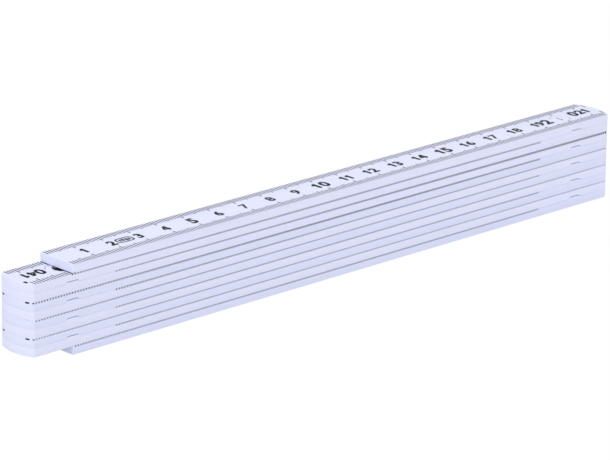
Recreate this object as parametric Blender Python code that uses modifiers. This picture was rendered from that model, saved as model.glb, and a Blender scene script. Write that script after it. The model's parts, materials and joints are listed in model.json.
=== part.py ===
"""Folding rule, 2 m, ten glass-fibre laths joined by nine sprung pivots, shown folded.

Run with: blender --background --python part.py

Frame: metres, +Z up. The origin is the centre of the folded stack's underside. The laths run
along X, their width is along Y, and they are stacked along Z with lath_01 on top and lath_10 on
the table. Pivots 1, 3, 5, 7 and 9 stand at +X, pivots 2, 4, 6 and 8 at -X. Pivot k joins lath k
(its upper lath) to lath k + 1 (its lower lath).

How one pivot works: the lower lath carries a low round hub that sits in a matching pocket in the
underside of the upper lath. A pin with a flush head drops through the upper lath, where its
square neck stops it turning, and runs in a bore through the hub. A press-on cap holds its tail,
and a wave washer between the cap and the lower lath keeps the two laths pressed together. Pin and
cap turn with the upper lath, the washer stays with the lower one.
"""

import math
from itertools import pairwise

import bmesh
import bpy

# ---- driving dimensions, in metres ---------------------------------------------------------
# Laths
LATHS = 10
PIVOT_SPAN = 0.200  # between the two pivots of one lath
WIDTH = 0.0140
THICK = 0.00252  # body of one lath
AIR_GAP = 0.00013  # between the bodies of two laths
PITCH = THICK + AIR_GAP  # from one lath to the next
OVERHANG = 0.01556  # from a pivot to the tip of the rounded end beside it
END_SAG = 0.00170  # how far the rounded end falls back at its corners
END_STEPS = 8
CORNER_R = 0.0008  # corners of a rounded end
CORNER_STEPS = 3
ZERO_R = 0.0004  # corners of a square zero end
ZERO_STEPS = 2
PAD_REACH = 0.0150  # bearing pad, from the pivot towards the middle of the lath
PAD_DROP = 0.00008  # how far the pad stands out of the underside

# Hub and pocket: outer sides from the top down, as (radius, height over the lower lath's face)
HUB = [(0.00714, 0.00060), (0.00736, 0.0)]
POCKET = [(0.00722, 0.00070), (0.00747, 0.0)]
HUB_SIDES = 40

# Pin, with heights over the upper lath's underside
AXIAL_GAP = 0.00005  # the pin's shoulders from the faces next to them
HEAD_R = 0.00310
HEAD_TOP = THICK - 0.00002  # just under the upper lath's top face
HEAD_UNDER = 0.00157
NECK_HALF = 0.00205
SHANK_R = 0.00200
TAIL_R = 0.00150
PIN_STEPS = 20

# Cap
CAP_R = 0.00328
CAP_H = 0.00075
CAP_HOLE_R = TAIL_R + 0.00007
CAP_SETBACK = 0.00005  # its lower face over the lower lath's underside

# Holes in the laths, each wider than what it holds, with heights over that lath's underside
HEAD_SINK_R = HEAD_R + 0.00008
HEAD_SINK_FLOOR = HEAD_UNDER - AXIAL_GAP
NECK_HOLE_HALF = NECK_HALF + 0.00006
BORE_R = SHANK_R + 0.00010
CAP_SINK_R = CAP_R + 0.00015
CAP_SINK_CEILING = 0.00150

# Thumb nick beside the first lath's zero end, in lath 2 and its pin head
NICK_R = 0.0030
NICK_X = 0.00140
NICK_Y = -0.00100
NICK_DEPTH = 0.00060
NICK_SIDES = 32

# Washer
WASHER_IN = 0.00225
WASHER_OUT = 0.00315
WASHER_SHEET = 0.00026
WASHER_WAVE = 0.00013  # height of a crest over the middle plane
WASHER_WAVES = 4
WASHER_STEPS = 16

# Working solids run past the surfaces they cut, or are buried where they join
PLANK_EXTRA = 0.020  # plank past each pivot
PLANK_HALF = 0.009
TRIM_LOW, TRIM_HIGH = -0.002, 0.005  # outline prism
CLEAR_END, CLEAR_HALF = 0.240, 0.012  # cut that ends the pad
CUT_LOW, CUT_HIGH = -0.001, 0.004  # below and above a lath
NECK_HOLE_TOP = 0.002  # inside the head's sink
BORE_LOW = 0.001  # inside the cap's sink
POCKET_LOW = -0.0006
NICK_RISE = 0.002  # nick cutter over the top face
HUB_ROOT = 0.0004  # hub buried in the lath
NECK_ROOT = 0.0002  # neck buried in the head

# ---- a clean scene and two collections -----------------------------------------------------
for old in list(bpy.data.objects):
    bpy.data.objects.remove(old, do_unlink=True)

parts = bpy.data.collections.new("folding_rule")
cutters = bpy.data.collections.new("cutters")
bpy.context.scene.collection.children.link(parts)
bpy.context.scene.collection.children.link(cutters)


def material(name, colour, roughness, metallic=0.0):
    made = bpy.data.materials.new(name)
    made.use_nodes = True
    inputs = made.node_tree.nodes["Principled BSDF"].inputs
    inputs["Base Color"].default_value = (*colour, 1.0)
    inputs["Roughness"].default_value = roughness
    inputs["Metallic"].default_value = metallic
    return made


LATH_WHITE = material("lath_glass_fibre_white", colour=(0.78, 0.79, 0.86), roughness=0.42)
PIN_WHITE = material("pin_acetal_white", colour=(0.80, 0.81, 0.87), roughness=0.35)
CAP_WHITE = material("cap_acetal_white", colour=(0.78, 0.79, 0.85), roughness=0.38)
SPRING_STEEL = material(
    "washer_spring_steel", colour=(0.55, 0.55, 0.56), roughness=0.28, metallic=1.0
)


# ---- from working solids to finished meshes ------------------------------------------------
def working_solid(name, build):
    """A helper object from a bmesh, which is freed."""
    mesh = bpy.data.meshes.new(name)
    build.to_mesh(mesh)
    build.free()
    solid = bpy.data.objects.new(name, mesh)
    cutters.objects.link(solid)
    solid.hide_render = True
    solid.display_type = "WIRE"
    return solid


def combine(solid, other, operation):
    boolean = solid.modifiers.new(operation.lower() + "_" + other.name, "BOOLEAN")
    boolean.operation = operation
    boolean.solver = "EXACT"
    boolean.object = other


def cut(solid, *tools):
    for tool in tools:
        combine(solid, tool, "DIFFERENCE")


def evaluated_mesh(solid):
    bpy.context.view_layer.update()
    depsgraph = bpy.context.evaluated_depsgraph_get()
    return bpy.data.meshes.new_from_object(solid.evaluated_get(depsgraph))


def finished(solid, name, surface):
    """The solid with every cut made, as one mesh that its copies share."""
    mesh = evaluated_mesh(solid)
    mesh.name = name
    mesh.shade_smooth()
    mesh.set_sharp_from_angle(angle=math.radians(30))
    mesh.materials.append(surface)
    return mesh


# ---- shapes --------------------------------------------------------------------------------
def box(name, low, high):
    """A box between two corners, from a unit cube."""
    build = bmesh.new()
    bmesh.ops.create_cube(build, size=1.0)
    for vert in build.verts:
        vert.co = [
            start + (unit + 0.5) * (end - start)
            for start, end, unit in zip(low, high, vert.co, strict=True)
        ]
    return working_solid(name, build)


def drum(name, sides, radius, z_low, z_high, x=0.0, y=0.0):
    """A cylinder standing at x, y."""
    build = bmesh.new()
    bmesh.ops.create_cone(
        build,
        cap_ends=True,
        segments=sides,
        radius1=radius,
        radius2=radius,
        depth=z_high - z_low,
    )
    bmesh.ops.translate(build, verts=build.verts, vec=(x, y, (z_low + z_high) / 2))
    return working_solid(name, build)


def rings(name, sides, profile, x=0.0):
    """A solid of round sections, (radius, height) each, standing on the pivot at x."""
    build = bmesh.new()
    angles = [2 * math.pi * (i + 0.5) / sides for i in range(sides)]
    loops = [
        [build.verts.new((x + r * math.cos(a), r * math.sin(a), z)) for a in angles]
        for r, z in profile
    ]
    build.faces.new(loops[0])
    build.faces.new(loops[-1])
    for upper, lower in pairwise(loops):
        for i in range(sides):
            j = (i + 1) % sides
            build.faces.new((upper[i], upper[j], lower[j], lower[i]))
    bmesh.ops.recalc_face_normals(build, faces=build.faces)
    return working_solid(name, build)


def turned(name, profile, closed=False):
    """A profile of (radius, height), outer side running down, turned about Z."""
    build = bmesh.new()
    verts = [build.verts.new((r, 0.0, z)) for r, z in profile]
    for edge in pairwise(verts):
        build.edges.new(edge)
    if closed:
        build.edges.new((verts[-1], verts[0]))
    solid = working_solid(name, build)
    screw = solid.modifiers.new("turn", "SCREW")
    screw.angle = 2 * math.pi
    screw.steps = PIN_STEPS
    screw.render_steps = PIN_STEPS
    screw.use_merge_vertices = True
    screw.merge_threshold = 0.000005
    screw.use_smooth_shade = False
    return solid


# ---- lath outlines -------------------------------------------------------------------------
def arc(centre_x, centre_y, radius, start, end, steps):
    """Points on an arc, both ends included."""
    angles = [start + (end - start) * i / steps for i in range(steps + 1)]
    return [(centre_x + radius * math.cos(a), centre_y + radius * math.sin(a)) for a in angles]


def rounded_end(tip):
    """The end of a lath at +X, from its -Y side to its +Y side: one shallow arc and two corners."""
    half = WIDTH / 2
    end_r = (half**2 + END_SAG**2) / (2 * END_SAG)
    end_x = tip - end_r
    corner_y = half - CORNER_R
    corner_x = end_x + math.sqrt((end_r - CORNER_R) ** 2 - corner_y**2)
    lean = math.atan2(corner_y, corner_x - end_x)
    points = arc(corner_x, -corner_y, CORNER_R, -math.pi / 2, -lean, CORNER_STEPS)
    points += arc(end_x, 0.0, end_r, -lean, lean, END_STEPS)[1:-1]
    points += arc(corner_x, corner_y, CORNER_R, lean, math.pi / 2, CORNER_STEPS)
    return points


def square_end(tip):
    """The zero end of a lath at +X: square, with small corners."""
    corner_x = tip - ZERO_R
    corner_y = WIDTH / 2 - ZERO_R
    points = arc(corner_x, -corner_y, ZERO_R, -math.pi / 2, 0.0, ZERO_STEPS)
    points += arc(corner_x, corner_y, ZERO_R, 0.0, math.pi / 2, ZERO_STEPS)
    return points


def outline_prism(name, far_points):
    """A lath's outline, with a rounded end at -X, drawn as a flat curve and extruded."""
    points = far_points + [(-x, -y) for x, y in rounded_end(OVERHANG)]
    curve = bpy.data.curves.new(name, "CURVE")
    curve.dimensions = "2D"
    curve.fill_mode = "BOTH"
    curve.extrude = (TRIM_HIGH - TRIM_LOW) / 2
    spline = curve.splines.new("POLY")
    spline.points.add(len(points) - 1)
    for point, (x, y) in zip(spline.points, points, strict=True):
        point.co = (x, y, 0.0, 1.0)
    spline.use_cyclic_u = True
    drawn = bpy.data.objects.new(name + "_curve", curve)
    cutters.objects.link(drawn)
    mesh = evaluated_mesh(drawn)
    build = bmesh.new()
    build.from_mesh(mesh)
    # Weld the caps to the sides and clear the caps' triangles.
    bmesh.ops.remove_doubles(build, verts=build.verts, dist=1e-6)
    bmesh.ops.dissolve_limit(build, angle_limit=0.002, verts=build.verts, edges=build.edges)
    bmesh.ops.recalc_face_normals(build, faces=build.faces)
    bmesh.ops.translate(build, verts=build.verts, vec=(0.0, 0.0, (TRIM_LOW + TRIM_HIGH) / 2))
    bpy.data.objects.remove(drawn, do_unlink=True)
    bpy.data.meshes.remove(mesh)
    return working_solid(name, build)


# ---- laths ---------------------------------------------------------------------------------
def cut_upper_role(lath, tag):
    """Cut what a lath needs at x = 0 to be the upper lath of a pivot."""
    wall = [(r, z - AIR_GAP) for r, z in POCKET]
    half = NECK_HOLE_HALF
    cut(
        lath,
        box(tag + "_clear", (PAD_REACH, -CLEAR_HALF, CUT_LOW), (CLEAR_END, CLEAR_HALF, 0.0)),
        rings(tag + "_pocket", HUB_SIDES, [*wall, (wall[-1][0], POCKET_LOW)]),
        drum(tag + "_head_sink", PIN_STEPS, HEAD_SINK_R, HEAD_SINK_FLOOR, CUT_HIGH),
        box(tag + "_neck_hole", (-half, -half, CUT_LOW), (half, half, NECK_HOLE_TOP)),
    )


def cut_lower_role(lath, tag, x):
    """Cut what a lath needs at x to be the lower lath of a pivot."""
    cut(
        lath,
        drum(tag + "_cap_sink", PIN_STEPS, CAP_SINK_R, CUT_LOW, CAP_SINK_CEILING, x),
        drum(tag + "_bore", PIN_STEPS, BORE_R, BORE_LOW, CUT_HIGH, x),
    )


def hub(tag, x):
    """The hub, with a little of it buried in the lath so that the two join cleanly."""
    wall = [(r, THICK + z) for r, z in HUB]
    return rings(tag + "_hub", HUB_SIDES, [*wall, (wall[-1][0], THICK - HUB_ROOT)], x)


def nick(tag):
    """The shallow round cut that lets a thumbnail under the first lath's zero end."""
    low, high = THICK - NICK_DEPTH, THICK + NICK_RISE
    return drum(tag + "_nick", NICK_SIDES, NICK_R, low, high, NICK_X, NICK_Y)


def lath_mesh(tag, far_end, upper=True, hub_x=None, nicked=False):
    """A lath with its own pivot at x = 0 and the rest of it along +X.

    It starts as a plank that is too wide, takes its hub, and is then trimmed to its outline, so
    hub and sides are flush. Only an upper lath has a pad, only a lower one a hub.
    """
    plank = box(
        tag + "_plank",
        (-PLANK_EXTRA, -PLANK_HALF, -PAD_DROP if upper else 0.0),
        (PIVOT_SPAN + PLANK_EXTRA, PLANK_HALF, THICK),
    )
    if hub_x is not None:
        combine(plank, hub(tag, hub_x), "UNION")
    combine(plank, outline_prism(tag + "_outline", far_end), "INTERSECT")
    if upper:
        cut_upper_role(plank, tag)
    if hub_x is not None:
        cut_lower_role(plank, tag, hub_x)
    if nicked:
        cut(plank, nick(tag))
    return finished(plank, tag + "_lath", LATH_WHITE)


# ---- pivot pieces --------------------------------------------------------------------------
def pin_mesh(tag, nicked=False):
    """Head, square neck, shank and tail, measured from the upper lath's underside."""
    tail_end = CAP_SETBACK - PITCH
    shoulder = tail_end + CAP_H + AXIAL_GAP
    profile = [
        (0.0, HEAD_TOP),
        (HEAD_R, HEAD_TOP),
        (HEAD_R, HEAD_UNDER),
        (SHANK_R, HEAD_UNDER),
        (SHANK_R, shoulder),
        (TAIL_R, shoulder),
        (TAIL_R, tail_end),
        (0.0, tail_end),
    ]
    pin = turned(tag + "_turned", profile)
    neck = box(
        tag + "_neck",
        (-NECK_HALF, -NECK_HALF, POCKET[0][1] - AIR_GAP + AXIAL_GAP),
        (NECK_HALF, NECK_HALF, HEAD_UNDER + NECK_ROOT),
    )
    combine(pin, neck, "UNION")
    if nicked:
        cut(pin, nick(tag))
    return finished(pin, tag, PIN_WHITE)


def cap_mesh():
    """A flat ring pressed on the pin's tail, measured from its own lower face."""
    profile = [(CAP_HOLE_R, CAP_H), (CAP_R, CAP_H), (CAP_R, 0.0), (CAP_HOLE_R, 0.0)]
    return finished(turned("cap_turned", profile, closed=True), "pin_cap", CAP_WHITE)


def washer_mesh():
    """A wave washer bent from sheet, measured from its middle plane."""
    build = bmesh.new()
    bmesh.ops.create_cone(
        build,
        cap_ends=False,
        segments=WASHER_STEPS,
        radius1=WASHER_OUT,
        radius2=WASHER_IN,
        depth=0.0001,  # any height will do, as the wave replaces it
    )
    for vert in build.verts:
        angle = math.atan2(vert.co.y, vert.co.x)
        vert.co.z = WASHER_WAVE * math.cos(WASHER_WAVES * angle)
    bmesh.ops.recalc_face_normals(build, faces=build.faces)
    ring = working_solid("washer_sheet", build)
    sheet = ring.modifiers.new("sheet", "SOLIDIFY")
    sheet.thickness = WASHER_SHEET
    sheet.offset = 0.0
    return finished(ring, "spring_washer", SPRING_STEEL)


# ---- the folded rule -----------------------------------------------------------------------
def place(name, mesh, parent, location=(0.0, 0.0, 0.0), turn=0.0):
    piece = bpy.data.objects.new(name, mesh)
    parts.objects.link(piece)
    piece.parent = parent
    piece.location = location
    piece.rotation_euler = (0.0, 0.0, turn)
    return piece


first = lath_mesh("first", square_end(PIVOT_SPAN))
both_ends_rounded = {"far_end": rounded_end(PIVOT_SPAN + OVERHANG), "hub_x": PIVOT_SPAN}
second = lath_mesh("second", nicked=True, **both_ends_rounded)
middle = lath_mesh("middle", **both_ends_rounded)
last = lath_mesh("last", square_end(PIVOT_SPAN), upper=False, hub_x=0.0)
lath_meshes = {1: first, 2: second}

plain_pin = pin_mesh("pivot_pin")
second_pin = pin_mesh("second_pin", nicked=True)
cap = cap_mesh()
washer = washer_mesh()

cap_z = CAP_SETBACK - PITCH
washer_z = (CAP_SETBACK + CAP_H + CAP_SINK_CEILING) / 2  # midway from the cap to the ceiling

# Lath 10 lies on the table with its pivot at +X and its zero end towards -X. Each lath above it
# hangs on the one below, and its own origin is on the pivot they share.
below = place(f"lath_{LATHS}", last, None, (PIVOT_SPAN / 2, 0.0, 0.0), math.pi)
pivot_x, turn = 0.0, 0.0  # lath 9 shares the last lath's own pivot and lies the same way round
for k in range(LATHS - 1, 0, -1):
    mesh = lath_meshes.get(k, middle)
    lath = place(f"lath_{k:02d}", mesh, below, (pivot_x, 0.0, PITCH), turn)
    place(f"pivot_pin_{k}", second_pin if k == 2 else plain_pin, lath)
    place(f"pin_cap_{k}", cap, lath, (0.0, 0.0, cap_z))
    place(f"spring_washer_{k}", washer, below, (pivot_x, 0.0, washer_z))
    below = lath
    pivot_x, turn = PIVOT_SPAN, math.pi  # every other lath folds back from the far pivot

bpy.context.view_layer.update()
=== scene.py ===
"""Looks for the folding rule: fine lath and pivot meshes, printed scales, materials, light and camera.

Everything is in metres in the CAD frame. Shapes are drawn in millimetres and scaled once, because
the details are a few hundredths of a millimetre across.
"""

import json
import math

import bmesh
import bpy
import numpy as np
from mathutils import Matrix, Vector

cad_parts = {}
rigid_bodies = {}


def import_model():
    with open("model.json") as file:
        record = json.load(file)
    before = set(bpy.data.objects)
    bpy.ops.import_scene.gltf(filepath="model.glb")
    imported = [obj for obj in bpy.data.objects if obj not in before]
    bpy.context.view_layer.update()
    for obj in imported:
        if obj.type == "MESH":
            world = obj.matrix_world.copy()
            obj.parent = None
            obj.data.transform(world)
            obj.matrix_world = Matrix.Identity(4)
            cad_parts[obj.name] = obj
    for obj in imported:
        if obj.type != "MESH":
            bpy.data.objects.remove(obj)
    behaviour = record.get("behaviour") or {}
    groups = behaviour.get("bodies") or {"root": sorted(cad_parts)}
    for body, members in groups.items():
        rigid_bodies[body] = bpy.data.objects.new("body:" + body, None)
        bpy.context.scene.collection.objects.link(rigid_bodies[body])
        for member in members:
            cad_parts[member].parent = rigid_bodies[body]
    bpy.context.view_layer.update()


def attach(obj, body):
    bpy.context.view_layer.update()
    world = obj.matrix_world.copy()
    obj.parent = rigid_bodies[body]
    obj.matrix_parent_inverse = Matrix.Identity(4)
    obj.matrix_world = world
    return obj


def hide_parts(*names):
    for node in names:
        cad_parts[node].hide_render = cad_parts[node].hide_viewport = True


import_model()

# ---- sizes in millimetres, the same as the CAD's -------------------------------------------
LATHS, SPAN, WIDTH, THICK, PITCH = 10, 200.0, 14.0, 2.52, 2.65
OVERHANG, END_SAG, CORNER_R, ZERO_R = 15.56, 1.70, 0.8, 0.4
PAD_REACH, PAD_DROP = 15.0, 0.08
HUB = ((7.14, 0.60), (7.36, 0.0))  # (radius, height over the lower lath's face)
POCKET = ((7.22, 0.70), (7.47, 0.0))
HEAD_SINK_R, SINK_R, HEAD_FLOOR, SINK_FLOOR = 3.20, 3.43, 1.52, 1.50
BORE_R, NECK_HOLE = 2.10, 2.11
NICK_R, NICK_X, NICK_Y, NICK_DEPTH = 3.0, 1.40, -1.00, 0.60
EDGE = 0.10  # rounding of a lath's rims
CRISP = 0.03  # and of its underside's rims, and where two laths bear on each other
TIP = 0.112  # the rounded tips' undersides all but meet the lath below
BELLY = 0.075  # the upper laths' undersides swell this far into the gap below
INK = 0.012  # how far print stands off the plastic
HALF = WIDTH / 2

scene = bpy.context.scene
work = bpy.data.collections.new("workbench")
scene.collection.children.link(work)
shown = bpy.data.collections.new("rule_looks")
scene.collection.children.link(shown)


# ---- materials -----------------------------------------------------------------------------
def node(nt, kind, **values):
    n = nt.nodes.new(kind)
    for key, value in values.items():
        if key in n.inputs:
            n.inputs[key].default_value = value
        else:
            setattr(n, key, value)
    return n


def ramp(nt, points):
    n = nt.nodes.new("ShaderNodeValToRGB")
    el = n.color_ramp.elements
    while len(el) < len(points):
        el.new(0.5)
    for e, (at, value) in zip(el, points, strict=True):
        e.position = at
        e.color = (value, value, value, 1.0) if not isinstance(value, tuple) else (*value, 1.0)
    return n


def plastic(name, colour, shade, rough, streak=1.0):
    """Moulded glass-fibre plastic: faint mottling, fibre streaks along the part, specks, fine grain."""
    mat = bpy.data.materials.new(name)
    mat.use_nodes = True
    nt = mat.node_tree
    bsdf = nt.nodes["Principled BSDF"]
    link = nt.links.new
    coord = node(nt, "ShaderNodeTexCoord")
    info = node(nt, "ShaderNodeObjectInfo")
    # each copy of a part reads its own patch of the pattern
    shift = node(nt, "ShaderNodeVectorMath", operation="SCALE")
    shift.inputs[0].default_value = (0.73, 0.41, 0.29)
    link(info.outputs["Random"], shift.inputs["Scale"])
    place = node(nt, "ShaderNodeVectorMath", operation="ADD")
    link(coord.outputs["Object"], place.inputs[0])
    link(shift.outputs[0], place.inputs[1])

    cloud = node(nt, "ShaderNodeTexNoise", Scale=55.0, Detail=4.0, Roughness=0.55)
    link(place.outputs[0], cloud.inputs["Vector"])
    long = node(nt, "ShaderNodeMapping")
    long.inputs["Scale"].default_value = (160.0, 2600.0, 2600.0)
    link(place.outputs[0], long.inputs["Vector"])
    fibre = node(nt, "ShaderNodeTexNoise", Scale=1.0, Detail=3.0, Roughness=0.6)
    link(long.outputs[0], fibre.inputs["Vector"])
    speck = node(nt, "ShaderNodeTexNoise", Scale=2300.0, Detail=1.0, Roughness=0.5)
    link(place.outputs[0], speck.inputs["Vector"])
    grain = node(nt, "ShaderNodeTexNoise", Scale=7000.0, Detail=2.0, Roughness=0.6)
    link(place.outputs[0], grain.inputs["Vector"])

    clouds = ramp(nt, [(0.30, 0.0), (0.70, 1.0)])
    link(cloud.outputs["Fac"], clouds.inputs["Fac"])
    streaks = ramp(nt, [(0.56, 0.0), (0.80, 1.0)])
    link(fibre.outputs["Fac"], streaks.inputs["Fac"])
    specks = ramp(nt, [(0.64, 0.0), (0.74, 1.0)])
    link(speck.outputs["Fac"], specks.inputs["Fac"])

    base = node(nt, "ShaderNodeMix", data_type="RGBA")
    base.inputs["A"].default_value = (*colour, 1.0)
    base.inputs["B"].default_value = (*shade, 1.0)
    amount = node(nt, "ShaderNodeMath", operation="MULTIPLY")
    amount.inputs[1].default_value = 0.55
    link(clouds.outputs["Color"], amount.inputs[0])
    link(amount.outputs[0], base.inputs["Factor"])
    with_fibre = node(nt, "ShaderNodeMix", data_type="RGBA")
    with_fibre.inputs["B"].default_value = (*[min(1.0, c * 1.06) for c in colour], 1.0)
    f = node(nt, "ShaderNodeMath", operation="MULTIPLY")
    f.inputs[1].default_value = 0.5 * streak
    link(streaks.outputs["Color"], f.inputs[0])
    link(f.outputs[0], with_fibre.inputs["Factor"])
    link(base.outputs["Result"], with_fibre.inputs["A"])
    with_speck = node(nt, "ShaderNodeMix", data_type="RGBA")
    with_speck.inputs["B"].default_value = (*[c * 0.80 for c in shade], 1.0)
    s = node(nt, "ShaderNodeMath", operation="MULTIPLY")
    s.inputs[1].default_value = 0.35
    link(specks.outputs["Color"], s.inputs[0])
    link(s.outputs[0], with_speck.inputs["Factor"])
    link(with_fibre.outputs["Result"], with_speck.inputs["A"])
    link(with_speck.outputs["Result"], bsdf.inputs["Base Color"])

    roughness = node(nt, "ShaderNodeMapRange")
    roughness.inputs["To Min"].default_value = rough - 0.07
    roughness.inputs["To Max"].default_value = rough + 0.10
    link(fibre.outputs["Fac"], roughness.inputs["Value"])
    link(roughness.outputs["Result"], bsdf.inputs["Roughness"])

    height = node(nt, "ShaderNodeMath", operation="MULTIPLY_ADD")
    height.inputs[1].default_value = 0.5 * streak
    link(fibre.outputs["Fac"], height.inputs[0])
    link(grain.outputs["Fac"], height.inputs[2])
    bump = node(nt, "ShaderNodeBump")
    bump.inputs["Strength"].default_value = 0.16
    bump.inputs["Distance"].default_value = 0.00003
    link(height.outputs[0], bump.inputs["Height"])
    link(bump.outputs["Normal"], bsdf.inputs["Normal"])
    bsdf.inputs["IOR"].default_value = 1.5
    bsdf.inputs["Specular IOR Level"].default_value = 0.35
    return mat


def ink(name, colour, rough):
    """Screen-printed ink, a little uneven in density and sheen; the thumb nick's painted shade is made with it too."""
    mat = bpy.data.materials.new(name)
    mat.use_nodes = True
    nt = mat.node_tree
    bsdf = nt.nodes["Principled BSDF"]
    coord = node(nt, "ShaderNodeTexCoord")
    noise = node(nt, "ShaderNodeTexNoise", Scale=3200.0, Detail=3.0, Roughness=0.6)
    nt.links.new(coord.outputs["Object"], noise.inputs["Vector"])
    tone = ramp(
        nt,
        [(0.35, tuple(c * 0.75 for c in colour)), (0.75, tuple(c * 1.35 for c in colour))],
    )
    nt.links.new(noise.outputs["Fac"], tone.inputs["Fac"])
    nt.links.new(tone.outputs["Color"], bsdf.inputs["Base Color"])
    sheen = node(nt, "ShaderNodeMapRange")
    sheen.inputs["To Min"].default_value = rough - 0.08
    sheen.inputs["To Max"].default_value = rough + 0.12
    nt.links.new(noise.outputs["Fac"], sheen.inputs["Value"])
    nt.links.new(sheen.outputs["Result"], bsdf.inputs["Roughness"])
    bump = node(nt, "ShaderNodeBump")
    bump.inputs["Strength"].default_value = 0.12
    bump.inputs["Distance"].default_value = 0.00001
    nt.links.new(noise.outputs["Fac"], bump.inputs["Height"])
    nt.links.new(bump.outputs["Normal"], bsdf.inputs["Normal"])
    bsdf.inputs["Specular IOR Level"].default_value = 0.15
    return mat


def steel(name):
    """Cold-rolled spring strip, with rolling lines and a faint straw tint."""
    mat = bpy.data.materials.new(name)
    mat.use_nodes = True
    nt = mat.node_tree
    bsdf = nt.nodes["Principled BSDF"]
    coord = node(nt, "ShaderNodeTexCoord")
    long = node(nt, "ShaderNodeMapping")
    long.inputs["Scale"].default_value = (400.0, 9000.0, 9000.0)
    nt.links.new(coord.outputs["Object"], long.inputs["Vector"])
    lines = node(nt, "ShaderNodeTexNoise", Scale=1.0, Detail=3.0, Roughness=0.6)
    nt.links.new(long.outputs[0], lines.inputs["Vector"])
    tone = ramp(nt, [(0.3, (0.42, 0.42, 0.44)), (0.75, (0.66, 0.64, 0.61))])
    nt.links.new(lines.outputs["Fac"], tone.inputs["Fac"])
    nt.links.new(tone.outputs["Color"], bsdf.inputs["Base Color"])
    bsdf.inputs["Metallic"].default_value = 1.0
    rough = node(nt, "ShaderNodeMapRange")
    rough.inputs["To Min"].default_value = 0.22
    rough.inputs["To Max"].default_value = 0.42
    nt.links.new(lines.outputs["Fac"], rough.inputs["Value"])
    nt.links.new(rough.outputs["Result"], bsdf.inputs["Roughness"])
    return mat


LATH_MAT = plastic("lath_glass_fibre", (0.768, 0.790, 0.974), (0.733, 0.758, 0.958), 0.46)
# a darker copy of the lath colour, which the even laths from 4 on take
LATH_MAT_B = plastic("lath_glass_fibre_b", (0.737, 0.765, 0.962), (0.703, 0.734, 0.946), 0.46)
PIN_MAT = plastic("pin_acetal", (0.780, 0.802, 0.960), (0.755, 0.777, 0.945), 0.38, 0.3)
CAP_MAT = plastic("cap_acetal", (0.760, 0.782, 0.965), (0.735, 0.757, 0.950), 0.42, 0.3)
INK_BLACK = ink("print_black", (0.006, 0.006, 0.009), 0.55)
INK_TICK = ink("print_tick", (0.010, 0.011, 0.015), 0.55)
# painted shade: a dark colour for the thumb nick's floor, standing in for the shade under lath 1's zero end
NICK_PAINTED_SHADE = ink("nick_painted_shade", (0.055, 0.056, 0.065), 0.60)
INK_GREY = ink("print_grey", (0.085, 0.088, 0.100), 0.45)
STEEL_MAT = steel("washer_spring_steel")


# ---- mesh tools, in millimetres ------------------------------------------------------------
def bench(name, bm):
    mesh = bpy.data.meshes.new(name)
    bm.to_mesh(mesh)
    bm.free()
    ob = bpy.data.objects.new(name, mesh)
    work.objects.link(ob)
    return ob


def arc(cx, cy, r, a0, a1, steps):
    return [
        (
            cx + r * math.cos(a0 + (a1 - a0) * i / steps),
            cy + r * math.sin(a0 + (a1 - a0) * i / steps),
        )
        for i in range(steps + 1)
    ]


def rounded_end(tip, inset=0.0):
    half = HALF - inset
    big = (HALF**2 + END_SAG**2) / (2 * END_SAG) - inset
    r = CORNER_R - inset
    cx = tip - inset - big
    fy = half - r
    fx = cx + math.sqrt((big - r) ** 2 - fy**2)
    lean = math.atan2(fy, fx - cx)
    points = arc(fx, -fy, r, -math.pi / 2, -lean, 8)
    points += arc(cx, 0.0, big, -lean, lean, 32)[1:-1]
    points += arc(fx, fy, r, lean, math.pi / 2, 8)
    return points


def square_end(tip):
    points = arc(tip - ZERO_R, -HALF + ZERO_R, ZERO_R, -math.pi / 2, 0.0, 6)
    points += arc(tip - ZERO_R, HALF - ZERO_R, ZERO_R, 0.0, math.pi / 2, 6)
    return points


def prism(name, points, z0, z1):
    """A closed outline raised into a solid."""
    bm = bmesh.new()
    low = [bm.verts.new((x, y, z0)) for x, y in points]
    face = bm.faces.new(low)
    bm.normal_update()
    if face.normal.z > 0:
        face.normal_flip()
    grown = bmesh.ops.extrude_face_region(bm, geom=[face])
    top = [g for g in grown["geom"] if isinstance(g, bmesh.types.BMVert)]
    bmesh.ops.translate(bm, verts=top, vec=(0.0, 0.0, z1 - z0))
    if not any(f.normal.z < -0.9 for f in bm.faces):
        bm.faces.new(list(reversed(low)))
    bmesh.ops.recalc_face_normals(bm, faces=bm.faces)
    return bench(name, bm)


def round_rims(ob, width, steps, levels):
    """Rounds the outline's edges at the given heights."""
    bm = bmesh.new()
    bm.from_mesh(ob.data)
    edges = [
        e
        for e in bm.edges
        if any(all(abs(v.co.z - z) < 1e-5 for v in e.verts) for z in levels)
        and len(e.link_faces) == 2
    ]
    bmesh.ops.bevel(
        bm, geom=edges, offset=width, segments=steps, profile=0.5, affect="EDGES", clamp_overlap=True
    )
    bmesh.ops.recalc_face_normals(bm, faces=bm.faces)
    bm.to_mesh(ob.data)
    bm.free()
    return ob


def turned(name, profile, steps, x=0.0, y=0.0, closed=False):
    """A profile of (radius, height) turned about an upright axis at x, y."""
    bm = bmesh.new()
    verts = [bm.verts.new((r, 0.0, z)) for r, z in profile]
    edges = [bm.edges.new(pair) for pair in zip(verts, verts[1:], strict=False)]
    if closed:
        edges.append(bm.edges.new((verts[-1], verts[0])))
    bmesh.ops.spin(
        bm,
        geom=verts + edges,
        cent=(0, 0, 0),
        axis=(0, 0, 1),
        angle=2 * math.pi,
        steps=steps,
        use_merge=True,
    )
    bmesh.ops.remove_doubles(bm, verts=bm.verts, dist=1e-4)
    bmesh.ops.recalc_face_normals(bm, faces=bm.faces)
    bmesh.ops.translate(bm, verts=bm.verts, vec=(x, y, 0.0))
    return bench(name, bm)


def block(name, low, high):
    bm = bmesh.new()
    bmesh.ops.create_cube(bm, size=1.0)
    for v in bm.verts:
        v.co = [lo + (c + 0.5) * (hi - lo) for lo, hi, c in zip(low, high, v.co, strict=True)]
    return bench(name, bm)


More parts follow.
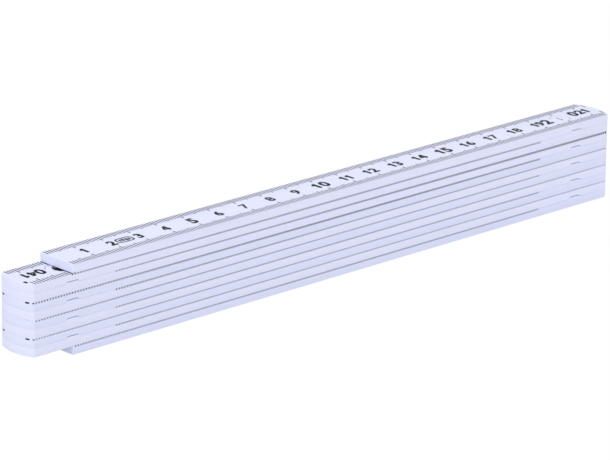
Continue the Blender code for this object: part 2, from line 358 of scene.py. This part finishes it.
def combine(ob, other, operation):
    mod = ob.modifiers.new(operation.lower(), "BOOLEAN")
    mod.operation = operation
    mod.solver = "EXACT"
    mod.object = other


def baked(ob, name, angle=32.0):
    """The object with its modifiers applied, as a mesh in metres."""
    bpy.context.view_layer.update()
    mesh = bpy.data.meshes.new_from_object(ob.evaluated_get(bpy.context.evaluated_depsgraph_get()))
    mesh.name = name
    bm = bmesh.new()
    bm.from_mesh(mesh)
    bmesh.ops.remove_doubles(bm, verts=bm.verts, dist=2e-5)
    bmesh.ops.dissolve_degenerate(bm, dist=1e-5, edges=bm.edges)
    bm.to_mesh(mesh)
    bm.free()
    mesh.transform(Matrix.Scale(0.001, 4))
    mesh.shade_smooth()
    mesh.set_sharp_from_angle(angle=math.radians(angle))
    return mesh


def cone_at(profile, face):
    """Radius at any height of the cone through two (radius, height) points."""
    (r1, z1), (r0, z0) = profile
    return lambda z: r0 + (r1 - r0) * (z - face - z0) / (z1 - z0)


def lath_mesh(kind, nick=False):
    """One lath with its own pivot at x = 0, the rest of it along +X, underside at z = 0."""
    far = square_end(SPAN) if kind != "middle" else rounded_end(SPAN + OVERHANG)
    near = [(-x, -y) for x, y in rounded_end(OVERHANG)]
    upper, lower = kind != "last", kind != "first"
    base = -BELLY if upper else 0.0
    body = round_rims(prism(kind + "_body", far + near, base, THICK), EDGE, 4, (THICK,))
    body = round_rims(body, CRISP, 2, (base,))
    hub_x = 0.0 if kind == "last" else SPAN
    if lower:
        # around the hub the top rims stay crisp
        if kind == "last":
            land = [(PAD_REACH, -HALF + 0.008), (PAD_REACH, HALF - 0.008)]
            land += [(-x, -y) for x, y in rounded_end(OVERHANG, 0.008)]
        else:
            land = rounded_end(SPAN + OVERHANG, 0.008)
            land += [(SPAN - PAD_REACH, HALF - 0.008), (SPAN - PAD_REACH, -HALF + 0.008)]
        top = THICK - 0.004
        land = prism(kind + "_land", land, THICK - 0.9, top)
        combine(body, round_rims(land, CRISP, 2, (top,)), "UNION")
        r_at = cone_at(HUB, THICK)
        high = THICK + HUB[0][1] - 0.15
        hub = turned(
            kind + "_hub",
            [
                (0.0, high),
                (r_at(high) - 0.060, high),
                (r_at(high) - 0.018, high - 0.018),
                (r_at(high - 0.06), high - 0.06),
                (r_at(THICK - 0.9), THICK - 0.9),
                (0.0, THICK - 0.9),
            ],
            144,
            hub_x,
        )
        combine(hub, block(kind + "_trim", (-20, -HALF + 0.006, 0), (240, HALF - 0.006, 5)), "INTERSECT")
        combine(body, hub, "UNION")
    if upper:
        near_pad = [(-x, -y) for x, y in rounded_end(OVERHANG, 0.008)]
        pad = prism(
            kind + "_pad",
            [(PAD_REACH, -HALF + 0.008), (PAD_REACH, HALF - 0.008)] + near_pad,
            -PAD_DROP,
            0.9,
        )
        combine(body, round_rims(pad, CRISP, 2, (-PAD_DROP,)), "UNION")
        tips = [[(-8.2, -HALF + 0.012), (-8.2, HALF - 0.012)] + [(-x, -y) for x, y in rounded_end(OVERHANG, 0.012)]]
        if kind == "middle":
            tips.append(rounded_end(SPAN + OVERHANG, 0.012) + [(SPAN + 8.2, HALF - 0.012), (SPAN + 8.2, -HALF + 0.012)])
        for i, outline in enumerate(tips):
            tip = prism(f"{kind}_tip_{i}", outline, -TIP, 0.7)
            combine(body, round_rims(tip, 0.015, 1, (-TIP,)), "UNION")
        if kind == "first":
            # under the zero end the belly is relieved, which leaves a thin shadow
            low, high = (SPAN - 1.2, -HALF - 1, -1.0), (SPAN + 1.0, HALF + 1, 0.10)
            combine(body, block("zero_relief", low, high), "DIFFERENCE")
        face = THICK - PITCH  # the lower lath's face, from this underside
        r_at = cone_at(POCKET, face)
        ceiling = POCKET[0][1] + face
        pocket = turned(
            kind + "_pocket",
            [(0.0, ceiling), (r_at(ceiling), ceiling), (r_at(-0.5), -0.5), (0.0, -0.5)],
            144,
        )
        combine(body, pocket, "DIFFERENCE")
        combine(
            body,
            turned(
                kind + "_head_sink",
                [
                    (0.0, 4.0),
                    (HEAD_SINK_R + 0.08, 4.0),
                    (HEAD_SINK_R + 0.08, THICK),
                    (HEAD_SINK_R, THICK - 0.08),
                    (HEAD_SINK_R, HEAD_FLOOR),
                    (0.0, HEAD_FLOOR),
                ],
                96,
            ),
            "DIFFERENCE",
        )
        combine(
            body,
            block(kind + "_neck_hole", (-NECK_HOLE, -NECK_HOLE, -1), (NECK_HOLE, NECK_HOLE, 2)),
            "DIFFERENCE",
        )
    if lower:
        combine(
            body,
            turned(
                kind + "_cap_sink",
                [
                    (0.0, SINK_FLOOR),
                    (SINK_R, SINK_FLOOR),
                    (SINK_R, base + 0.05),
                    (SINK_R + 0.05, base),
                    (SINK_R + 0.05, -1.0),
                    (0.0, -1.0),
                ],
                96,
                hub_x,
            ),
            "DIFFERENCE",
        )
        combine(
            body,
            turned(
                kind + "_bore",
                [(0.0, 4.0), (BORE_R, 4.0), (BORE_R, 1.0), (0.0, 1.0)],
                64,
                hub_x,
            ),
            "DIFFERENCE",
        )
    if nick:
        combine(body, nick_tool("lath_nick"), "DIFFERENCE")
    return baked(body, kind + ("_nicked" if nick else "") + "_lath_fine")


def nick_tool(name):
    """The shallow thumb nick beside the top lath's zero end, in the pivot's own frame."""
    return turned(
        name,
        [
            (0.0, THICK + 2.0),
            (NICK_R, THICK + 2.0),
            (NICK_R, THICK - NICK_DEPTH + 0.12),
            (NICK_R - 0.04, THICK - NICK_DEPTH + 0.04),
            (NICK_R - 0.12, THICK - NICK_DEPTH),
            (0.0, THICK - NICK_DEPTH),
        ],
        96,
        NICK_X,
        NICK_Y,
    )


def pin_mesh(nick=False):
    head_r, head_top, head_under = 3.01, 2.50, 1.57
    tail_end = 0.05 - PITCH
    shoulder = tail_end + 0.75 + 0.05
    neck_low = POCKET[0][1] - (PITCH - THICK) + 0.05
    pin = turned(
        "pin_turned",
        [
            (0.0, head_top),
            (head_r - 0.13, head_top),
            (head_r - 0.04, head_top - 0.04),
            (head_r, head_top - 0.13),
            (head_r, head_under + 0.08),
            (head_r - 0.08, head_under),
            (2.0, head_under),
            (2.0, shoulder + 0.06),
            (1.94, shoulder),
            (1.5, shoulder),
            (1.5, tail_end + 0.12),
            (1.38, tail_end),
            (0.0, tail_end),
        ],
        96,
    )
    neck = block("pin_neck", (-2.05, -2.05, neck_low), (2.05, 2.05, head_under + 0.2))
    bm = bmesh.new()
    bm.from_mesh(neck.data)
    upright = [e for e in bm.edges if abs(e.verts[0].co.z - e.verts[1].co.z) > 0.5]
    bmesh.ops.bevel(bm, geom=upright, offset=0.18, segments=3, profile=0.5, affect="EDGES")
    bm.to_mesh(neck.data)
    bm.free()
    combine(pin, neck, "UNION")
    if nick:
        combine(pin, nick_tool("pin_nick"), "DIFFERENCE")
    return baked(pin, "pin_fine" + ("_nicked" if nick else ""))


def cap_mesh():
    ring = turned(
        "cap_turned",
        [
            (1.57, 0.75),
            (3.20, 0.75),
            (3.28, 0.67),
            (3.28, 0.10),
            (3.25, 0.03),
            (3.18, 0.0),
            (1.69, 0.0),
            (1.57, 0.12),
        ],
        96,
        closed=True,
    )
    return baked(ring, "cap_fine")


def washer_mesh():
    """A four-wave ring of strip with rounded rims."""
    steps, r_in, r_out, sheet, wave = 96, 2.25, 3.15, 0.25, 0.13
    h, c = sheet / 2, 0.05
    section = [
        (r_in, h - c),
        (r_in + c, h),
        (r_out - c, h),
        (r_out, h - c),
        (r_out, c - h),
        (r_out - c, -h),
        (r_in + c, -h),
        (r_in, c - h),
    ]
    bm = bmesh.new()
    rings = []
    for i in range(steps):
        a = 2 * math.pi * i / steps
        lift = wave * math.cos(4 * a)
        rings.append([bm.verts.new((r * math.cos(a), r * math.sin(a), z + lift)) for r, z in section])
    n = len(section)
    for i in range(steps):
        here, there = rings[i], rings[(i + 1) % steps]
        for j in range(n):
            bm.faces.new((here[j], there[j], there[(j + 1) % n], here[(j + 1) % n]))
    bmesh.ops.recalc_face_normals(bm, faces=bm.faces)
    return baked(bench("washer_ring", bm), "washer_fine")


# ---- print ---------------------------------------------------------------------------------
class Print:
    """Thin closed slabs gathered into one mesh: a face's x runs along the scale, y across it."""

    def __init__(self):
        self.verts, self.faces = [], []

    def add(self, verts, faces):
        at = len(self.verts)
        self.verts.extend(verts)
        self.faces.extend([tuple(i + at for i in f) for f in faces])

    def slab(self, points):
        """A convex outline, counter-clockwise, as a slab on the face."""
        n = len(points)
        verts = [(x, y, -0.03) for x, y in points] + [(x, y, INK) for x, y in points]
        faces = [tuple(range(n - 1, -1, -1)), tuple(range(n, 2 * n))]
        faces += [(i, (i + 1) % n, n + (i + 1) % n, n + i) for i in range(n)]
        self.add(verts, faces)

    def tick(self, x, inner, width, side, run=0.06, outer=None):
        """A tick from |y| = inner to the rim and run millimetres over it, or only to outer."""
        if outer is not None:
            lo, hi = sorted((side * inner, side * outer))
            self.slab([(x - width / 2, lo), (x + width / 2, lo), (x + width / 2, hi), (x - width / 2, hi)])
            return
        ends = [(x - width / 2, side * HALF, 0.0, side), (x + width / 2, side * HALF, 0.0, side)]
        self.sweep(ends, HALF - inner, run)

    def sweep(self, outline, reach, run):
        """A skin from reach inside a rim to run over it; the outline is (x, y, nx, ny)."""
        wrap = min(run / EDGE, math.radians(88))
        drip = run - EDGE * wrap
        angles = [wrap * f for f in (0.0, 0.34, 0.67, 1.0)]
        steps, inside = [(-reach, 0.0, INK)], [(-reach, 0.0, -0.03)]
        for path, r in ((steps, EDGE + INK), (inside, EDGE - 0.03)):
            path += [(r * math.sin(a) - EDGE, 0.0, r * math.cos(a) - EDGE) for a in angles]
        if drip > 0.005:
            steps.append((INK, 0.0, -EDGE - drip))
            inside.append((-0.03, 0.0, -EDGE - drip))
        n, m = len(steps), len(outline)
        verts = [(x + nx * o, y + ny * o, z) for x, y, nx, ny in outline for o, _, z in steps + inside]
        faces = []
        for i in range(m - 1):
            a, b = 2 * n * i, 2 * n * (i + 1)
            for j in range(n - 1):
                faces.append((a + j, a + j + 1, b + j + 1, b + j))
                faces.append((a + n + j + 1, a + n + j, b + n + j, b + n + j + 1))
            faces.append((a + n, a, b, b + n))
            faces.append((a + n - 1, a + 2 * n - 1, b + 2 * n - 1, b + n - 1))
        for a in (0, 2 * n * (m - 1)):
            for j in range(n - 1):
                faces.append((a + j, a + j + 1, a + n + j + 1, a + n + j))
        self.add(verts, faces)

    def ring(self, outline, width):
        """A closed outline drawn as a line of that width."""
        pts = [Vector(p) for p in outline]
        n = len(pts)
        inner, outer = [], []
        for i, p in enumerate(pts):
            along = (pts[(i + 1) % n] - pts[i - 1]).normalized()
            out = Vector((along.y, -along.x))
            outer.append(p + out * width / 2)
            inner.append(p - out * width / 2)
        verts = [(p.x, p.y, z) for z in (-0.03, INK) for ringpts in (outer, inner) for p in ringpts]
        faces = []
        for i in range(n):
            j = (i + 1) % n
            faces.append((i, j, 2 * n + j, 2 * n + i))  # outside wall
            faces.append((n + j, n + i, 3 * n + i, 3 * n + j))  # inside wall
            faces.append((2 * n + i, 2 * n + j, 3 * n + j, 3 * n + i))  # top
            faces.append((n + i, n + j, j, i))  # bottom
        self.add(verts, faces)

    def object(self, name, mat, matrix):
        mesh = bpy.data.meshes.new(name)
        mesh.from_pydata([matrix @ Vector(v) for v in self.verts], [], self.faces)
        mesh.transform(Matrix.Scale(0.001, 4))
        bm = bmesh.new()
        bm.from_mesh(mesh)
        bmesh.ops.recalc_face_normals(bm, faces=bm.faces)
        bm.to_mesh(mesh)
        bm.free()
        mesh.materials.append(mat)
        ob = bpy.data.objects.new(name, mesh)
        shown.objects.link(ob)
        return ob


GLYPH_H = 0.682  # height of a figure in the font's own units
BOLD = {"8": 0.036, "6": 0.040, "9": 0.040, "7": 0.028, "1": 0.022, "4": 0.022}
DRAWN = {
    "1": [
        [(0.210, 0), (0.372, 0), (0.372, 0.682), (0.240, 0.682), (0.200, 0.600), (0.095, 0.545)]
        + [(0.095, 0.405), (0.210, 0.465)]
    ],
    "4": [
        [(0.270, 0), (0.410, 0), (0.410, 0.140), (0.480, 0.140), (0.480, 0.262), (0.410, 0.262)]
        + [(0.410, 0.682), (0.245, 0.682), (0.010, 0.275), (0.010, 0.140), (0.270, 0.140)],
        [(0.135, 0.262), (0.270, 0.262), (0.270, 0.490)],
    ],
}


def glyph(character):
    """One bold figure as a closed slab, in the font's units."""
    if character in DRAWN:
        curve = bpy.data.curves.new("figure", "CURVE")
        curve.offset = BOLD[character]
        curve.dimensions = "2D"
        curve.fill_mode = "BOTH"
        for loop in DRAWN[character]:
            spline = curve.splines.new("POLY")
            spline.points.add(len(loop) - 1)
            for p, (x, y) in zip(spline.points, loop, strict=True):
                p.co = (x, y, 0.0, 1.0)
            spline.use_cyclic_u = True
    else:
        curve = bpy.data.curves.new("figure", "FONT")
        curve.body = character
        curve.size = 1.0
        curve.resolution_u = 4
        curve.offset = BOLD.get(character, 0.046)
    curve.extrude = 0.5
    ob = bpy.data.objects.new("figure", curve)
    work.objects.link(ob)
    bpy.context.view_layer.update()
    mesh = bpy.data.meshes.new_from_object(ob.evaluated_get(bpy.context.evaluated_depsgraph_get()))
    bm = bmesh.new()
    bm.from_mesh(mesh)
    bmesh.ops.remove_doubles(bm, verts=bm.verts, dist=1e-5)
    bmesh.ops.recalc_face_normals(bm, faces=bm.faces)
    bm.verts.index_update()
    verts = [tuple(v.co) for v in bm.verts]
    faces = [tuple(v.index for v in f.verts) for f in bm.faces]
    bm.free()
    xs = [v[0] for v in verts]
    return verts, faces, min(xs), max(xs)


GLYPHS = {c: glyph(c) for c in "0123456789"}


def figures(out, text, x, y, height, squeeze=1.0, gap=0.42):
    """Writes a number centred on (x, y)."""
    k = height / GLYPH_H
    widths = [(GLYPHS[c][3] - GLYPHS[c][2]) * k * squeeze for c in text]
    total = sum(widths) + gap * (len(text) - 1)
    at = x - total / 2
    for c, w in zip(text, widths, strict=True):
        verts, faces, left, _ = GLYPHS[c]
        placed = [
            (
                at + (vx - left) * k * squeeze,
                y + (vy - GLYPH_H / 2) * k,
                INK if vz > 0 else -0.03,
            )
            for vx, vy, vz in verts
        ]
        out.add(placed, faces)
        at += w + gap


# how many millimetres each face's ticks run over the rim that faces the front, at the left end
# of the row, in its middle and at its right end: the printing sits a little differently on each
FRONT_RUN = {
    2: (0.42, 0.58, 0.52),
    3: (0.34, 0.58, 0.70),
    4: (0.54, 0.62, 0.54),
    5: (0.60, 0.42, 0.38),
    6: (0.40, 0.32, 0.38),
    7: (0.40, 0.40, 0.30),
    8: (0.33, 0.32, 0.50),
    9: (0.46, 0.30, 0.27),
    10: (0.44, 0.50, 0.50),
}


def run_at(m, u):
    """Over the front rim, for the tick at u on face m."""
    left, middle, right = FRONT_RUN[m]
    x = u / 100 if m % 2 == 1 else 2 - u / 100
    return left + (middle - left) * x if x < 1 else middle + (right - middle) * (x - 1)


def end_rim(y0, y1, steps=7):
    """Points along the rounded end's rim between two y, with their normals."""
    big = (HALF**2 + END_SAG**2) / (2 * END_SAG)
    cx = SPAN + OVERHANG - big
    out = []
    for i in range(steps):
        a = math.asin((y0 + (y1 - y0) * i / (steps - 1)) / big)
        out.append((cx + big * math.cos(a), big * math.sin(a), math.cos(a), math.sin(a)))
    return out


def end_corner(side):
    """Points along the small rounding between the rounded end and a long side."""
    big = (HALF**2 + END_SAG**2) / (2 * END_SAG)
    fy = HALF - CORNER_R
    fx = SPAN + OVERHANG - big + math.sqrt((big - CORNER_R) ** 2 - fy**2)
    out = []
    for a in (0.55, 0.75, 0.95, 1.15):
        out.append(
            (
                fx + CORNER_R * math.cos(a),
                side * (fy + CORNER_R * math.sin(a)),
                math.cos(a),
                side * math.sin(a),
            )
        )
    return out


def scale_face(m, lower):
    """The print on the scale face of lath m, with x counted from its starting pivot."""
    ticks, black = Print(), Print()
    first = 1 if m == 1 else 16
    # the undersides of all but the lowest lath stay bare beyond their padded rounded ends
    padded = lower and m > 1
    last = 199 if m == LATHS else 208 if padded else 213
    front = -1 if (m % 2 == 1) != lower else 1
    for u in range(first, last + 1):
        if u % 10 == 0:
            inner, width = 3.40, 0.40
        elif u % 5 == 0:
            inner, width = 3.90, 0.38
        else:
            inner, width = 4.40, 0.37
        for side in (-1, 1):
            if side == front and not lower and m in FRONT_RUN:
                spread = 0.14 * max(0.0, u / 100 - 0.8) if m == 3 else 0.0
                if m == 4:
                    spread = 0.12 * max(0.0, 1.0 - abs(u / 100 - 0.8))
                # where the top lath leaves lath 2's rim bare, its ticks hardly run over it
                run = 0.10 if m == 2 and u > SPAN else run_at(m, u)
                ticks.tick(u, inner, width + spread, side, run)
            elif lower and m == 1:
                ticks.tick(u, inner, width, side, outer=HALF - EDGE)
            else:
                ticks.tick(u, inner, width, side)
    if m < LATHS:
        # the bold last mark runs over the rounded end's rim, further on some laths than on others
        run = 0.06 if lower else {4: 0.52, 8: 0.46}.get(m, 0.05)
        bold = black if m > 1 else ticks
        for side in (-1, 1):
            # lath 2 carries it along its front edge only, and a little shorter
            if m != 2:
                bold.tick(SPAN + 14.25, 2.9, 0.95 if m > 1 else 0.34, side, outer=5.0)
            elif side > 0:
                bold.tick(SPAN + 14.25, 3.2, 0.95, side, outer=4.75)
            if m > 2:
                bold.sweep(end_rim(side * 4.5, side * 5.7), 0.5, run)
            if run > 0.2:
                bold.sweep(end_corner(side), 0.3, run * 0.8)
    base = 20 * (m - 1)
    for cm in range(base + 1 if m == 1 else base + 2, base + 22):
        if (m == LATHS and cm >= base + 20) or (padded and cm == base + 21):
            continue
        u = 10 * (cm - base) + (0.12 if m == 1 else 0.0)
        text = str(cm)
        squeeze = 1.0 if len(text) < 3 else 0.88
        gap = 0.78 if 10 <= cm < 19 else 0.42
        if cm % 20 == 0:
            lift = 0.33 if m < 3 else 0.0
            figures(black, text[:-1], u - 6.1, -0.18, 3.8, squeeze)
            figures(black, text[-1], u + (5.85 if m == 1 else 5.5), lift if m == 1 else -lift, 3.75, squeeze)
        elif cm == base + 21:
            # crowded between the pivot and the rounded end
            lift = 0.30 if m < 3 else 0.0
            figures(black, text, u - (0.37 if m == 1 else 0.7), lift if m == 1 else -lift, 3.35, squeeze, gap - (0.24 if m == 1 else 0.0))
        elif cm % 5 == 0:
            figures(black, text, u, -0.14, 3.8, squeeze, gap + 0.07)
        else:
            figures(black, text, u, 0.12 if text == "1" else -0.16, 3.32, squeeze, gap)
    return ticks, black


# ---- build and place -----------------------------------------------------------------------
def show(name, mesh, mat, body, replaced, location=(0, 0, 0), turn=0.0):
    ob = bpy.data.objects.new(name, mesh)
    if not mesh.materials:
        mesh.materials.append(mat)
    shown.objects.link(ob)
    ob.location = [c * 0.001 for c in location]
    ob.rotation_euler = (0.0, 0.0, turn)
    bpy.context.view_layer.update()
    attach(ob, body)
    if replaced:
        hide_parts(replaced)
    return ob


MESHES = {
    "first": lath_mesh("first"),
    "middle": lath_mesh("middle"),
    "nicked": lath_mesh("middle", nick=True),
    "last": lath_mesh("last"),
}
MESHES["middle_b"] = MESHES["middle"].copy()
PIN, PIN_NICKED, CAP, WASHER = pin_mesh(), pin_mesh(nick=True), cap_mesh(), washer_mesh()

for k in range(1, LATHS + 1):
    z = (LATHS - k) * PITCH
    own = min(k, LATHS - 1)  # the pivot at this lath's own origin
    right = own % 2 == 1
    x = SPAN / 2 if right else -SPAN / 2
    turn = math.pi if right else 0.0
    kind = "first" if k == 1 else "last" if k == LATHS else "nicked" if k == 2 else "middle"
    if kind == "middle" and k % 2 == 0:
        kind = "middle_b"
    # the even laths from 4 on take the darker copy of the lath colour
    tone = LATH_MAT_B if k % 2 == 0 and k > 2 else LATH_MAT
    show(f"lath_{k:02d}_fine", MESHES[kind], tone, f"lath_{k}", f"lath_{k:02d}", (x, 0, z), turn)
    if k < LATHS:
        show(
            f"pivot_pin_{k}_fine",
            PIN_NICKED if k == 2 else PIN,
            PIN_MAT,
            f"lath_{k}",
            f"pivot_pin_{k}",
            (x, 0, z),
            turn,
        )
        show(
            f"pin_cap_{k}_fine",
            CAP,
            CAP_MAT,
            f"lath_{k}",
            f"pin_cap_{k}",
            (x, 0, z - PITCH + 0.05),
            turn,
        )
        show(
            f"spring_washer_{k}_fine",
            WASHER,
            STEEL_MAT,
            f"lath_{k + 1}",
            f"spring_washer_{k}",
            (x, 0, z - PITCH + (0.05 + 0.75 + SINK_FLOOR) / 2),
            turn,
        )

TOP = (LATHS - 1) * PITCH + THICK
FLIP = Matrix.Rotation(math.pi, 4, "X")  # the lower faces repeat the upper ones, turned about X


def face_matrix(m, lower):
    """From a scale face's own frame to the row frame at rest, in millimetres."""
    z = (LATHS - m) * PITCH + THICK
    if m % 2 == 1:
        place = Matrix.Translation((-SPAN / 2, 0, z))
    else:
        place = Matrix.Translation((SPAN / 2, 0, z)) @ Matrix.Rotation(math.pi, 4, "Z")
    if lower:
        place = Matrix.Translation((0, 0, TOP)) @ FLIP @ place
    return place


for m in range(1, LATHS + 1):
    for lower in (False, True):
        ticks, black = scale_face(m, lower)
        k = LATHS + 1 - m if lower else m
        where = "under" if lower else "top"
        place = face_matrix(m, lower)
        # every lath but the lowest has an underside that swells into the gap below
        swell = Matrix.Translation((0, 0, BELLY if lower and m > 1 else 0.0))
        for part, name, mat in ((ticks, "ticks", INK_TICK), (black, "figures", INK_BLACK)):
            ob = part.object(f"lath_{k:02d}_{where}_{name}", mat, place @ swell)
            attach(ob, f"lath_{k}")
        if m < LATHS and (lower or m != 2):
            # the short line that marks the pivot, on the pin's head or on its cap; the thumb
            # nick takes its place on lath 2
            line = Print()
            at = SPAN - 0.75
            line.slab([(at - 0.19, -2.15), (at + 0.19, -2.15), (at + 0.19, 0.85), (at - 0.19, 0.85)])
            drop = Matrix.Translation((0, 0, -0.02 if not lower else -0.05))
            ob = line.object(f"pivot_line_{k:02d}_{where}", INK_GREY, place @ drop)
            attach(ob, f"lath_{k}" if not lower else f"lath_{k - 1}")

# a plain rounded frame with two bars between the figures 2 and 3, on the first scale face
badge = Print()
outline = []
for cx, cy, a0 in ((26.55, -0.50, -90), (26.55, 0.34, 0), (23.35, 0.34, 90), (23.35, -0.50, 180)):
    outline += arc(cx, cy, 1.15, math.radians(a0), math.radians(a0 + 90), 6)
badge.ring(outline, 0.50)
for bx, by, wide, high in (
    (23.35, -0.10, 0.70, 1.55),
    (24.42, 0.08, 0.86, 1.70),
    (25.52, -0.22, 0.86, 1.80),
    (26.58, -0.05, 0.74, 1.50),
):
    x0, x1, y0, y1 = bx - wide / 2, bx + wide / 2, by - high / 2, by + high / 2
    badge.slab([(x0, y0), (x1, y0), (x1, y1), (x0, y1)])
for lower in (False, True):
    k = LATHS if lower else 1
    ob = badge.object(f"lath_{k:02d}_badge", INK_BLACK, face_matrix(1, lower))
    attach(ob, f"lath_{k}")

# painted shade: a dark disc on the outer side of the thumb nick's floor, where the recess lies in the shade of lath 1's
# zero end
nick_floor = Print()
nick_floor.slab(arc(SPAN - 0.55, 0.27, 1.85, 0.0, 2 * math.pi * 71 / 72, 71))
nick_place = face_matrix(2, False) @ Matrix.Translation((0, 0, -NICK_DEPTH))
ob = nick_floor.object("thumb_nick_ink", NICK_PAINTED_SHADE, nick_place)
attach(ob, "lath_2")

for ob in list(work.objects):
    bpy.data.objects.remove(ob, do_unlink=True)

# ---- floor, light and camera ---------------------------------------------------------------
floor_mesh = bpy.data.meshes.new("floor")
bm = bmesh.new()
bmesh.ops.create_grid(bm, x_segments=2, y_segments=2, size=6.0)
bm.to_mesh(floor_mesh)
bm.free()
floor = bpy.data.objects.new("floor", floor_mesh)
floor.location = (0.0, 0.0, -0.00002)
floor_mat = bpy.data.materials.new("floor_white")
floor_mat.use_nodes = True
ft = floor_mat.node_tree
fb = ft.nodes["Principled BSDF"]
fb.inputs["Base Color"].default_value = (0.71, 0.72, 0.745, 1.0)
fb.inputs["Roughness"].default_value = 0.9
fb.inputs["Specular IOR Level"].default_value = 0.0
# the floor is lit from below, as on a light table, so its shadows stay faint
glow = node(ft, "ShaderNodeEmission", Color=(1.0, 1.0, 1.0, 1.0), Strength=1.02)
path = node(ft, "ShaderNodeLightPath")
share = node(ft, "ShaderNodeMath", operation="MULTIPLY_ADD")
share.inputs[1].default_value = 0.53
share.inputs[2].default_value = 0.42
ft.links.new(path.outputs["Is Camera Ray"], share.inputs[0])
blend = node(ft, "ShaderNodeMixShader")
ft.links.new(share.outputs[0], blend.inputs["Fac"])
ft.links.new(fb.outputs[0], blend.inputs[1])
ft.links.new(glow.outputs[0], blend.inputs[2])
ft.links.new(blend.outputs[0], ft.nodes["Material Output"].inputs["Surface"])
floor_mesh.materials.append(floor_mat)
scene.collection.objects.link(floor)

world = bpy.data.worlds.new("studio")
scene.world = world
world.use_nodes = True
bg = world.node_tree.nodes["Background"]
bg.inputs["Color"].default_value = (0.985, 0.99, 1.0, 1.0)
bg.inputs["Strength"].default_value = 0.76


def softbox(name, at, aim, size, power):
    light = bpy.data.lights.new(name, "AREA")
    light.shape = "RECTANGLE"
    light.size, light.size_y = size
    light.energy = power
    ob = bpy.data.objects.new(name, light)
    ob.location = at
    ob.rotation_euler = (Vector(aim) - Vector(at)).to_track_quat("-Z", "Y").to_euler()
    scene.collection.objects.link(ob)
    return ob


softbox("key", (-1.95, -0.37, 2.40), (0, 0, 0.01), (2.0, 2.0), 25.0)
softbox("corner", (-2.0, -2.0, 1.07), (0, 0, 0.01), (1.5, 1.1), 8.6)
softbox("overhead", (1.0, 0.1, 3.0), (0, 0, 0.01), (2.0, 2.0), 8.3)
softbox("fill", (0.45, -0.50, 0.15), (0.09, 0, 0.01), (0.4, 0.25), 0.28)

RIGHT = Vector((0.730976, -0.682314, 0.011071))
DOWN = Vector((-0.209733, -0.240070, -0.947828))
AHEAD = Vector((0.649374, 0.690517, -0.318589))
cam_data = bpy.data.cameras.new("camera")
cam = bpy.data.objects.new("camera", cam_data)
rot = Matrix((RIGHT, -DOWN, -AHEAD)).transposed().to_4x4()
cam.matrix_world = Matrix.Translation((-0.872162, -0.921198, 0.438883)) @ rot
cam_data.sensor_fit = "HORIZONTAL"
cam_data.sensor_width = 36.0
cam_data.lens = 4599.8 / 610 * 36
cam_data.clip_start = 0.05
cam_data.clip_end = 50.0
scene.collection.objects.link(cam)
scene.camera = cam
scene.view_settings.view_transform = "Standard"
scene.view_settings.look = "None"
